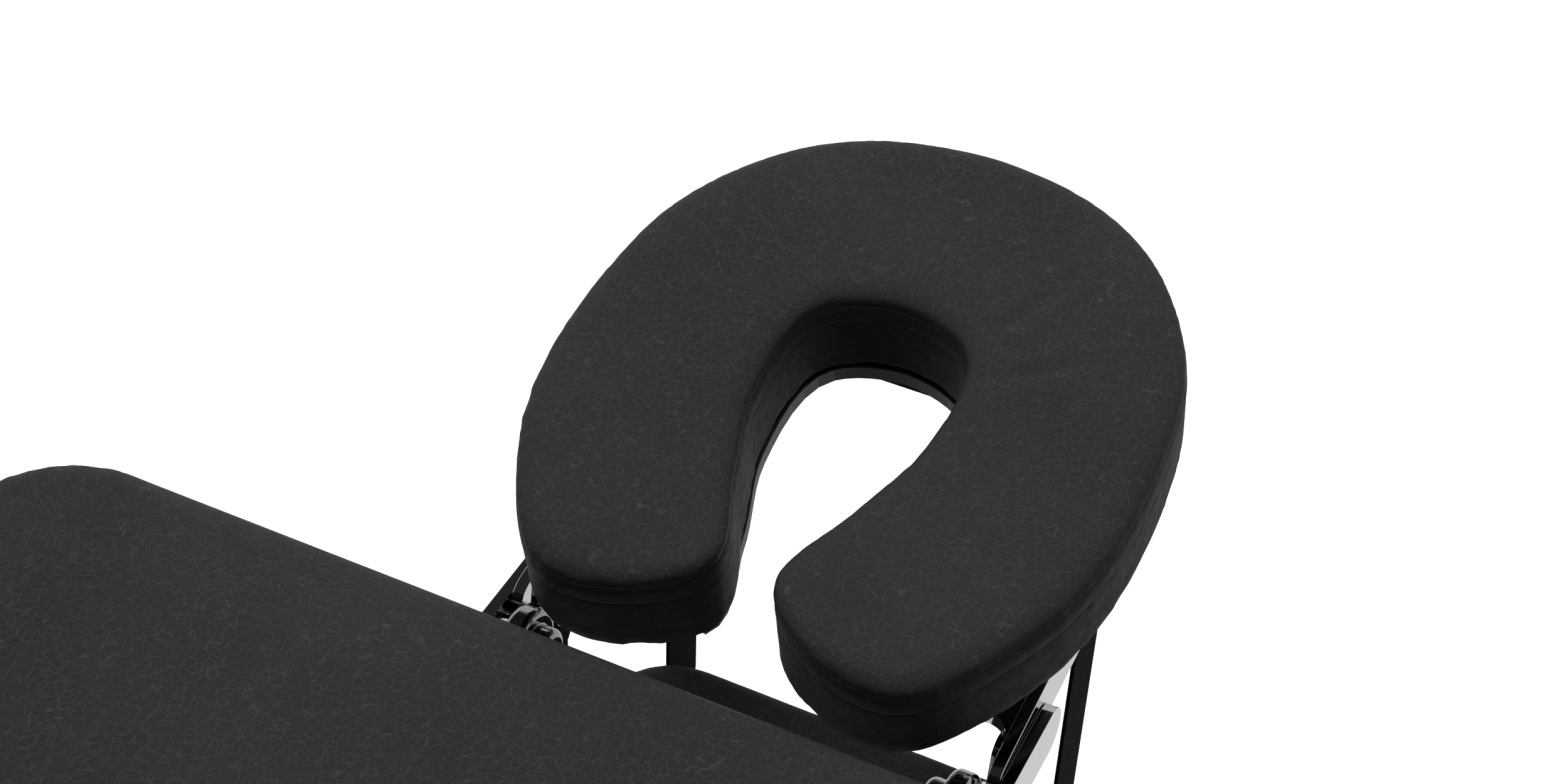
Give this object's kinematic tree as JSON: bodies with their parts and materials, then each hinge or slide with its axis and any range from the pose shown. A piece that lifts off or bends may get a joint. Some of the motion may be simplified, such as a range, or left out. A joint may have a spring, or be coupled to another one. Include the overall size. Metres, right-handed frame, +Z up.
{
  "type": "massage table",
  "caption": "Folding massage table in two hinged halves, with height-adjustable legs, carry handles, an adjustable padded face cradle and a hanging arm shelf.",
  "frame": {"origin": "on the floor, under the middle of the outline of table and face cradle together", "axes": "+X along the table towards the face cradle, +Y towards the side without handles, +Z up"},
  "size_m": [2.186, 0.7, 0.7557],
  "materials": {
    "upholstery": "satin",
    "polished": "polished",
    "frame": "satin",
    "plywood": "matte",
    "plastic": "matte",
    "rubber": "matte",
    "webbing": "matte"
  },
  "bodies": {
    "head_half": {"head_pad": "upholstery", "head_deck": "plywood", "head_side_rails": "frame", "head_end_rail": "frame", "head_centre_rail": "frame", "head_sockets": "plastic", "head_brackets": "frame", "head_leg_bolts": "polished", "head_hinge_leaves": "polished", "hinge_pins": "polished", "latch_screw": "polished"},
    "foot_half": {"foot_pad": "upholstery", "foot_deck": "plywood", "foot_side_rails": "frame", "foot_end_rail": "frame", "foot_centre_rail": "frame", "foot_sockets": "plastic", "foot_brackets": "frame", "foot_leg_bolts": "polished", "foot_hinge_leaves": "polished", "latch_keeper": "polished"},
    "cradle_base": {"cradle_dowels": "polished", "height_bolts": "polished"},
    "left_clamp": {"cradle_left_knob": "polished"},
    "right_clamp": {"cradle_right_knob": "polished"},
    "cradle_arms": {"outer_arms": "polished"},
    "cradle_frame": {"tilt_bolts": "polished", "inner_arms": "polished", "cradle_plates": "polished", "cushion_board": "plywood", "cradle_cushion": "upholstery"},
    "shelf_far_straps": {"far_straps": "webbing"},
    "shelf_near_straps": {"near_straps": "webbing"},
    "arm_shelf": {"shelf_board": "plywood", "shelf_pad": "upholstery", "shelf_rails": "polished"},
    "latch": {"latch_bar": "polished"},
    "head_legs": {"head_upper_legs": "frame", "head_crossbars": "frame", "head_collars": "plastic"},
    "head_stay_pair": {"head_stays": "polished"},
    "head_grip": {"head_handle": "plastic"},
    "head_left_leg_end": {"head_left_leg": "polished", "head_left_foot": "rubber"},
    "head_left_clamp": {"head_left_knob": "plastic"},
    "head_right_leg_end": {"head_right_leg": "polished", "head_right_foot": "rubber"},
    "head_right_clamp": {"head_right_knob": "plastic"},
    "foot_legs": {"foot_upper_legs": "frame", "foot_crossbars": "frame", "foot_collars": "plastic"},
    "foot_stay_pair": {"foot_stays": "polished"},
    "foot_grip": {"foot_handle": "plastic"},
    "foot_left_leg_end": {"foot_left_leg": "polished", "foot_left_foot": "rubber"},
    "foot_left_clamp": {"foot_left_knob": "plastic"},
    "foot_right_leg_end": {"foot_right_leg": "polished", "foot_right_foot": "rubber"},
    "foot_right_clamp": {"foot_right_knob": "plastic"}
  },
  "joints": [
    {"name": "table_fold", "type": "hinge", "parent": "head_half", "child": "foot_half", "pos_m": [-0.16803, 0, 0.586], "axis": [0, -1, 0], "range_deg": [0, 180]},
    {"name": "head_legs_fold", "type": "hinge", "parent": "head_half", "child": "head_legs", "pos_m": [0.67197, 0, 0.615], "axis": [0, 1, 0], "range_deg": [0, 95]},
    {"name": "head_stays_fold", "type": "hinge", "parent": "head_legs", "child": "head_stay_pair", "pos_m": [0.69506, 0, 0.35101], "axis": [0, -1, 0], "range_deg": [0, 137]},
    {"name": "head_left_leg_height", "type": "slide", "parent": "head_legs", "child": "head_left_leg_end", "axis": [0.0872, 0, -0.9962], "range_m": [-0.09, 0.14]},
    {"name": "head_left_leg_clamp", "type": "hinge", "parent": "head_legs", "child": "head_left_clamp", "pos_m": [0.69942, 0.2615, 0.3012], "axis": [0, -1, 0], "continuous": true},
    {"name": "head_right_leg_height", "type": "slide", "parent": "head_legs", "child": "head_right_leg_end", "axis": [0.0872, 0, -0.9962], "range_m": [-0.09, 0.14]},
    {"name": "head_right_leg_clamp", "type": "hinge", "parent": "head_legs", "child": "head_right_clamp", "pos_m": [0.69942, -0.2615, 0.3012], "axis": [0, 1, 0], "continuous": true},
    {"name": "head_handle_swing", "type": "hinge", "parent": "head_half", "child": "head_grip", "pos_m": [-0.04303, -0.3468, 0.636], "axis": [-1, 0, 0], "range_deg": [0, 85]},
    {"name": "foot_legs_fold", "type": "hinge", "parent": "foot_half", "child": "foot_legs", "pos_m": [-1.00803, 0, 0.615], "axis": [0, -1, 0], "range_deg": [0, 95]},
    {"name": "foot_stays_fold", "type": "hinge", "parent": "foot_legs", "child": "foot_stay_pair", "pos_m": [-1.03113, 0, 0.35101], "axis": [0, 1, 0], "range_deg": [0, 137]},
    {"name": "foot_left_leg_height", "type": "slide", "parent": "foot_legs", "child": "foot_left_leg_end", "axis": [-0.0872, 0, -0.9962], "range_m": [-0.09, 0.14]},
    {"name": "foot_left_leg_clamp", "type": "hinge", "parent": "foot_legs", "child": "foot_left_clamp", "pos_m": [-1.03549, 0.2215, 0.3012], "axis": [0, -1, 0], "continuous": true},
    {"name": "foot_right_leg_height", "type": "slide", "parent": "foot_legs", "child": "foot_right_leg_end", "axis": [-0.0872, 0, -0.9962], "range_m": [-0.09, 0.14]},
    {"name": "foot_right_leg_clamp", "type": "hinge", "parent": "foot_legs", "child": "foot_right_clamp", "pos_m": [-1.03549, -0.2215, 0.3012], "axis": [0, 1, 0], "continuous": true},
    {"name": "foot_handle_swing", "type": "hinge", "parent": "foot_half", "child": "foot_grip", "pos_m": [-0.29303, -0.3468, 0.636], "axis": [-1, 0, 0], "range_deg": [0, 85]},
    {"name": "latch_turn", "type": "hinge", "parent": "head_half", "child": "latch", "pos_m": [0.33197, -0.3463, 0.615], "axis": [0, -1, 0], "range_deg": [0, 90]},
    {"name": "cradle_draw", "type": "slide", "parent": "head_half", "child": "cradle_base", "axis": [1, 0, 0], "range_m": [0, 0.15]},
    {"name": "cradle_height", "type": "hinge", "parent": "cradle_base", "child": "cradle_arms", "pos_m": [0.79897, 0, 0.622], "axis": [0, 1, 0], "range_deg": [-5, 15]},
    {"name": "left_clamp_turn", "type": "hinge", "parent": "cradle_base", "child": "left_clamp", "pos_m": [0.79897, 0.105, 0.622], "axis": [0, -1, 0], "continuous": true},
    {"name": "right_clamp_turn", "type": "hinge", "parent": "cradle_base", "child": "right_clamp", "pos_m": [0.79897, -0.105, 0.622], "axis": [0, 1, 0], "continuous": true},
    {"name": "cradle_tilt", "type": "hinge", "parent": "cradle_arms", "child": "cradle_frame", "pos_m": [0.85647, 0, 0.626], "axis": [0, 1, 0], "range_deg": [-5, 15]},
    {"name": "shelf_swing", "type": "hinge", "parent": "cradle_frame", "child": "shelf_far_straps", "pos_m": [0.96397, 0, 0.637], "axis": [0, 1, 0], "range_deg": [-4, 4]},
    {"name": "near_strap_swing", "type": "hinge", "parent": "cradle_frame", "child": "shelf_near_straps", "pos_m": [0.83097, 0, 0.597], "axis": [0, 1, 0], "range_deg": [-4, 4]},
    {"name": "shelf_level", "type": "hinge", "parent": "shelf_far_straps", "child": "arm_shelf", "pos_m": [0.94897, 0, 0.44], "axis": [0, 1, 0], "range_deg": [-4, 4]}
  ],
  "couplings": [
    {"joint": "head_legs_fold", "follows": "table_fold", "ratio": 0.5277},
    {"joint": "head_stays_fold", "follows": "table_fold", "ratio": 0.75721},
    {"joint": "foot_legs_fold", "follows": "table_fold", "ratio": 0.5277},
    {"joint": "foot_stays_fold", "follows": "table_fold", "ratio": 0.75721},
    {"joint": "cradle_draw", "follows": "table_fold", "m_per_rad": 0.0477},
    {"joint": "near_strap_swing", "follows": "shelf_swing", "ratio": 1},
    {"joint": "shelf_level", "follows": "shelf_swing", "ratio": -1}
  ]
}
